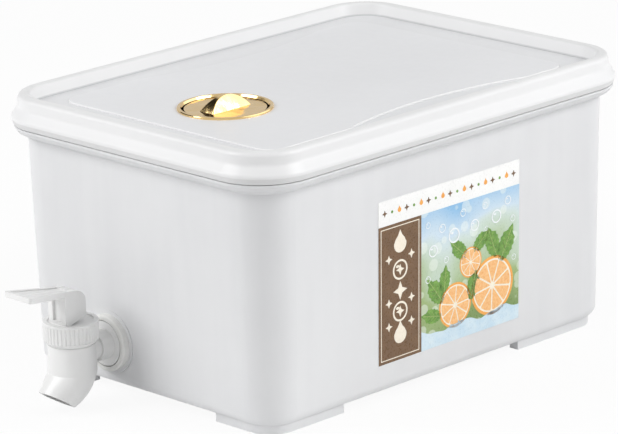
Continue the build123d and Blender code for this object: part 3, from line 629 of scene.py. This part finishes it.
def lay_on_label(shapes, name):
    """Joins flat shapes into one piece and lays it on the film."""
    nothing_selected()
    for shape in shapes:
        shape.select_set(True)
    piece = shapes[0]
    bpy.context.view_layer.objects.active = piece
    if len(shapes) > 1:
        bpy.ops.object.join()
    along = Vector((0, 1, 0))
    up = Vector((math.sin(WALL_LEAN), 0, math.cos(WALL_LEAN)))
    out = Vector((math.cos(WALL_LEAN), 0, -math.sin(WALL_LEAN)))
    middle = Vector((LABEL_HIGH[0], (LABEL_LOW[1] + LABEL_HIGH[1]) / 2, LABEL_HIGH[2])) - up * HALF_RISE
    middle -= up * LABEL_MARGIN
    matrix = Matrix((along, up, out)).transposed().to_4x4()
    matrix.translation = middle
    piece.data.transform(matrix)
    piece.name = name
    piece.data.name = name
    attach(piece, "container")


def citrus_slice(radius, looks):
    """A slice seen face on: rind, a ring of pith, and wedges of flesh."""
    rind = disc(radius, 60, 1)
    wears(rind, *looks)
    start_edit(rind)
    pick(rind, "faces", top_face)
    bpy.ops.mesh.inset(thickness=0.10 * radius)
    paint_picked(rind, 1)
    end_edit()
    wedge = disc(0.84 * radius, 72, 2)
    wears(wedge, *looks)
    half = math.pi / SLICE_WEDGES
    gap = 0.03 * radius
    start_edit(wedge)
    for side in (1, -1):
        edge_normal = Vector((-math.sin(half), side * math.cos(half), 0))
        bpy.ops.mesh.select_all(action="SELECT")
        bpy.ops.mesh.bisect(plane_co=-edge_normal * gap, plane_no=edge_normal, use_fill=True,
                            clear_outer=True)
    bpy.ops.mesh.select_all(action="SELECT")
    paint_picked(wedge, 2)
    reach = max(v.co.x for v in bmesh.from_edit_mesh(wedge.data).verts)
    pick(wedge, "edges", lambda e: abs(e.verts[0].co.z - e.verts[1].co.z) > LAYER / 2
         and (abs(e.verts[0].co.y) > 0.8 * reach * math.sin(half) or e.verts[0].co.x < 0.2 * reach))
    bpy.ops.mesh.bevel(offset=0.05 * radius, segments=3, affect="EDGES")
    end_edit()
    shapes = [rind] + [twin(wedge, 0, 0, 360 / SLICE_WEDGES * turn) for turn in range(SLICE_WEDGES)]
    discard(wedge)
    return shapes


def leaf(length, looks):
    """A toothed leaf with a midrib and pairs of veins."""
    half = length / 2
    blade = disc(1.0, 36, 1)
    wears(blade, *looks)
    start_edit(blade)
    bpy.ops.mesh.select_all(action="SELECT")
    bpy.ops.transform.resize(value=(half, LEAF_HALF_WIDTH * length, 1), center_override=(0, 0, 0))
    pick(blade, "verts", lambda v: v.co.x > 0.62 * half)
    bpy.ops.transform.resize(value=(1.0, 0.62, 1), center_override=(0, 0, 0))
    pick(blade, "verts", lambda v: v.co.x > 0.96 * half)
    bpy.ops.transform.resize(value=(1.16, 0.2, 1), center_override=(0, 0, 0))
    teeth = [round(math.degrees(math.atan2(v.co.y / LEAF_HALF_WIDTH, v.co.x / 0.50)) / 10)
             for v in bmesh.from_edit_mesh(blade.data).verts]
    picked = iter(teeth)
    pick(blade, "verts", lambda v: next(picked) % 2 and abs(v.co.x) < 0.9 * half)
    bpy.ops.transform.resize(value=(0.93, 0.86, 1), center_override=(0, 0, 0))
    end_edit()
    shapes = [blade]
    rib = plate(-0.47 * length, -0.012 * length, 0.49 * length, 0.012 * length, 2)
    vein = plate(0, -0.007 * length, 0.22 * length, 0.007 * length, 2)
    for shape in (rib, vein):
        shape.data.materials.clear()
        wears(shape, *looks)
        start_edit(shape)
        bpy.ops.mesh.select_all(action="SELECT")
        paint_picked(shape, 1)
        end_edit()
    shapes.append(rib)
    for step, share in enumerate(LEAF_VEINS):
        for side in (1, -1):
            shapes.append(twin(vein, (-0.3 + 0.17 * step) * length, 0, side * VEIN_TURN, share))
    discard(vein)
    return shapes


def drop(radius, looks, level):
    """A falling drop: round below, drawn to a point above."""
    shape = disc(radius, 32, level)
    wears(shape, *looks)
    start_edit(shape)
    for start, narrow, rise in DROP_STEPS:
        reach = max(v.co.y for v in bmesh.from_edit_mesh(shape.data).verts)
        pick(shape, "verts", lambda v: v.co.y > start * reach)
        bpy.ops.transform.resize(value=(narrow, 1, 1), center_override=(0, 0, 0))
        bpy.ops.transform.translate(value=(0, rise * radius, 0))
    end_edit()
    return shape


def bubble(radius, looks, level):
    """A thin ring with one bright fleck."""
    bore = 0.11 * radius
    bpy.ops.mesh.primitive_torus_add(major_radius=radius, minor_radius=bore, major_segments=30,
                                     minor_segments=8, location=(0, 0, 0))
    ring = bpy.context.object
    wears(ring, *looks)
    start_edit(ring)
    bpy.ops.mesh.select_all(action="SELECT")
    bpy.ops.transform.resize(value=(1, 1, LAYER / (2 * bore)), center_override=(0, 0, 0))
    bpy.ops.transform.translate(value=(0, 0, (level + 0.5) * LAYER))
    end_edit()
    fleck = disc(0.2 * radius, 14, level, -0.38 * radius, 0.4 * radius)
    wears(fleck, *looks)
    start_edit(fleck)
    bpy.ops.mesh.select_all(action="SELECT")
    bpy.ops.transform.resize(value=(1.4, 0.8, 1), center_override=(-0.38 * radius, 0.4 * radius, 0))
    end_edit()
    return [ring, fleck]


def diamond(radius, looks, level):
    """A four-pointed glint."""
    shape = disc(radius, 8, level)
    wears(shape, *looks)
    start_edit(shape)
    pick(shape, "verts", lambda v: abs(v.co.x) > 0.2 * radius and abs(v.co.y) > 0.2 * radius)
    bpy.ops.transform.resize(value=(0.42, 0.42, 1), center_override=(0, 0, 0))
    end_edit()
    return shape


def wave(low_x, high_x, foot_y, top_y, looks):
    """Water along the picture's foot, its top edge in even swells."""
    shape = plate(low_x, foot_y, high_x, top_y, 1)
    wears(shape, *looks)
    start_edit(shape)
    run = high_x - low_x
    pick(shape, "edges", lambda e: abs(e.verts[0].co.x - e.verts[1].co.x) > run / 2)
    bpy.ops.mesh.subdivide(number_cuts=WAVE_CUTS)
    upper = [v.co.x for v in bmesh.from_edit_mesh(shape.data).verts if v.co.y > foot_y + 1 * MM]
    for column in sorted({round(x / MM, 3) for x in upper}):
        pick(shape, "verts", lambda v: abs(v.co.x / MM - column) < 0.01 and v.co.y > (foot_y + top_y) / 2)
        swell = sum(height * math.sin(column / length) for height, length in SWELLS)
        bpy.ops.transform.translate(value=(0, swell * MM, 0))
    end_edit()
    return shape


def from_edge(face, foot):
    """How far the middle of one of the band's faces is from the band's nearest edge."""
    middle = face.calc_center_median()
    return min(middle.x + HALF_RUN, BAND_END - middle.x, middle.y - foot, STRIP_FOOT - middle.y)


def label_print():
    """A generic garden print: leaves, citrus slices and bubbles, a brown band and a row of marks."""
    rind = printed("printed_orange_rind", (0.86, 0.36, 0.07), (0.92, 0.45, 0.10))
    pith = printed("printed_pith", (0.92, 0.84, 0.68), (0.95, 0.89, 0.76))
    flesh = printed("printed_flesh", (0.88, 0.42, 0.14), (0.96, 0.60, 0.28), 700)
    green = printed("printed_leaf", (0.10, 0.24, 0.04), (0.22, 0.42, 0.08), 420)
    vein = printed("printed_vein", (0.40, 0.55, 0.18), (0.48, 0.62, 0.24))
    water = printed("printed_water", (0.55, 0.72, 0.84), (0.72, 0.84, 0.90), 120)
    glint = printed("printed_glint", (0.88, 0.93, 0.96), (0.94, 0.97, 0.98))
    brown = printed("printed_brown", (0.145, 0.078, 0.036), (0.19, 0.105, 0.05), 180)
    cream = printed("printed_cream", (0.90, 0.82, 0.68), (0.94, 0.87, 0.75))

    foot = -HALF_RISE
    ground = plate(BAND_END, foot, HALF_RUN, STRIP_FOOT, 0)
    wears(ground, printed_garden())
    lay_on_label([ground], "label_garden")

    band = plate(-HALF_RUN, foot, BAND_END, STRIP_FOOT, 0, rounded=False)
    wears(band, brown, cream)
    start_edit(band)
    pick(band, "faces", top_face)
    bpy.ops.mesh.inset(thickness=BORDER_IN)
    bpy.ops.mesh.inset(thickness=BORDER_WIDTH)
    pick(band, "faces", lambda f: top_face(f) and BORDER_IN < from_edge(f, foot) < BORDER_IN + BORDER_WIDTH)
    paint_picked(band, 1)
    end_edit()
    lay_on_label([band], "label_band")

    lay_on_label([wave(BAND_END, HALF_RUN, foot, foot + WATER_RISE * MM, [water])], "label_water")

    shapes = []
    for radius, x, y, turn in SLICES:
        made = citrus_slice(radius * MM, (rind, pith, flesh))
        shapes += [twin(shape, x * MM, y * MM, turn) for shape in made]
        discard(*made)
    lay_on_label(shapes, "label_citrus")

    made = leaf(LEAF_LENGTH * MM, (green, vein))
    shapes = []
    for x, y, turn, size in LEAVES:
        shapes += [twin(shape, x * MM, y * MM, turn, size) for shape in made]
    discard(*made)
    lay_on_label(shapes, "label_leaves")

    made = bubble(BUBBLE_RADIUS * MM, [glint], 2)
    shapes = []
    for x, y, radius in BUBBLES:
        shapes += [twin(shape, x * MM, y * MM, 0, radius / BUBBLE_RADIUS) for shape in made]
    discard(*made)
    lay_on_label(shapes, "label_bubbles")

    band_x = (BAND_END - HALF_RUN) / 2
    one_drop = drop(4.6 * MM, [cream], 1)
    ring = bubble(5.0 * MM, [cream], 1)
    one_glint = diamond(5.2 * MM, [cream], 1)
    shapes = [twin(one_drop, band_x, y * MM) for y in BAND_DROPS]
    shapes += [twin(shape, band_x, y * MM) for shape in ring for y in BAND_RINGS]
    shapes += [twin(one_glint, band_x + x * MM, y * MM, 0, size) for x, y, size in BAND_GLINTS]
    discard(one_drop, one_glint, *ring)
    lay_on_label(shapes, "label_band_marks")

    marks = [diamond(1.9 * MM, [brown], 0), disc(0.8 * MM, 16, 0), drop(1.3 * MM, [rind], 0)]
    wears(marks[1], green)
    shapes = []
    for step in range(STRIP_MARKS):
        x = (step - STRIP_MARKS // 2) * STRIP_PITCH * MM
        shapes.append(twin(marks[step % len(marks)], x, (STRIP_FOOT + HALF_RISE) / 2))
    discard(*marks)
    lay_on_label(shapes, "label_strip_marks")


# Studio

FLOOR_SIZE = 30
FLOOR_DROP = 0.2 * MM
FLOOR_GREY = 0.86

# Seen directly or in gloss, the floor is plain white by this share, and lit, with its shadow, for the rest
FLOOR_WHITE_SHARE = 0.92
SKY_STRENGTH = 0.42
SKY_GREY = 1.0
BACKDROP_STRENGTH = 1.0
BACKDROP_GREY = 0.8
GLOSS_SKY_GREY = 0.8

# Gloss sees a sky of its own: this level, a dark flag to the left and a bright card behind
GLOSS_LEVEL = 0.85
FLAG_SHARE = 0.97
FLAG_PATCH = ((-0.68, -0.10, 0.72), 20, 10)
CARD_RISE = 1.6
CARD_PATCH = ((0.50, 0.68, 0.50), 20, 22)

SOFTBOX_SIZE = 1.2
SOFTBOX_AIM_Z = 0.07
SOFTBOXES = (("front_softbox", (-0.95, -1.45, 1.30), 26.5), ("side_softbox", (1.70, 0.85, 1.35), 30.0))


def studio_floor():
    """A pale flat floor that keeps the jug's shadow and is mostly seen as plain white."""
    material, n = new_material("studio_floor")
    path = n.add("ShaderNodeLightPath").outputs
    lit = n.add("ShaderNodeBsdfDiffuse")
    n.put(lit.inputs["Color"], (FLOOR_GREY, FLOOR_GREY, FLOOR_GREY))
    white = n.add("ShaderNodeEmission")
    n.put(white.inputs["Color"], (1, 1, 1))
    n.put(white.inputs["Strength"], 1.0)
    seen = n.math("MAXIMUM", path["Is Camera Ray"], path["Is Glossy Ray"])
    seen = n.math("MAXIMUM", seen, path["Is Transmission Ray"])
    share = n.math("MULTIPLY", seen, FLOOR_WHITE_SHARE)
    n.link(n.blend(share, lit.outputs[0], white.outputs[0]), n.out.inputs["Surface"])
    bpy.ops.mesh.primitive_plane_add(size=FLOOR_SIZE, location=(0, 0, -FLOOR_DROP))
    floor = bpy.context.object
    floor.name = "studio_floor"
    floor.data.materials.append(material)


def studio_sky():
    """A soft even sky, with a flag and a card that only gloss sees."""
    world = bpy.data.worlds.new("soft_studio")
    bpy.context.scene.world = world
    n = Nodes(world, "ShaderNodeOutputWorld")
    path = n.add("ShaderNodeLightPath").outputs
    level = n.math("MULTIPLY_ADD", n.sky_patch(*FLAG_PATCH), -GLOSS_LEVEL * FLAG_SHARE, GLOSS_LEVEL)
    level = n.math("MULTIPLY_ADD", n.sky_patch(*CARD_PATCH), CARD_RISE, level)
    lit = n.background(SKY_STRENGTH, SKY_GREY)
    lit = n.blend(path["Is Glossy Ray"], lit, n.background(level, GLOSS_SKY_GREY))
    straight = n.math("MAXIMUM", path["Is Camera Ray"], path["Is Transmission Ray"])
    backdrop = n.background(BACKDROP_STRENGTH, BACKDROP_GREY)
    n.link(n.blend(straight, lit, backdrop), n.out.inputs["Surface"])


def add_softbox(name, place, watts):
    """A square lamp that points at the jug."""
    data = bpy.data.lights.new(name, "AREA")
    data.shape = "SQUARE"
    data.size = SOFTBOX_SIZE
    data.energy = watts
    lamp = bpy.data.objects.new(name, data)
    bpy.context.collection.objects.link(lamp)
    lamp.location = place
    aim = Vector((0, TUB_MID_Y, SOFTBOX_AIM_Z)) - Vector(place)
    lamp.rotation_euler = aim.to_track_quat("-Z", "Y").to_euler()


bpy.context.scene.view_settings.view_transform = "Standard"
place_camera()
finish_nodes()
tap_spring()
label_print()
studio_floor()
studio_sky()
for softbox in SOFTBOXES:
    add_softbox(*softbox)
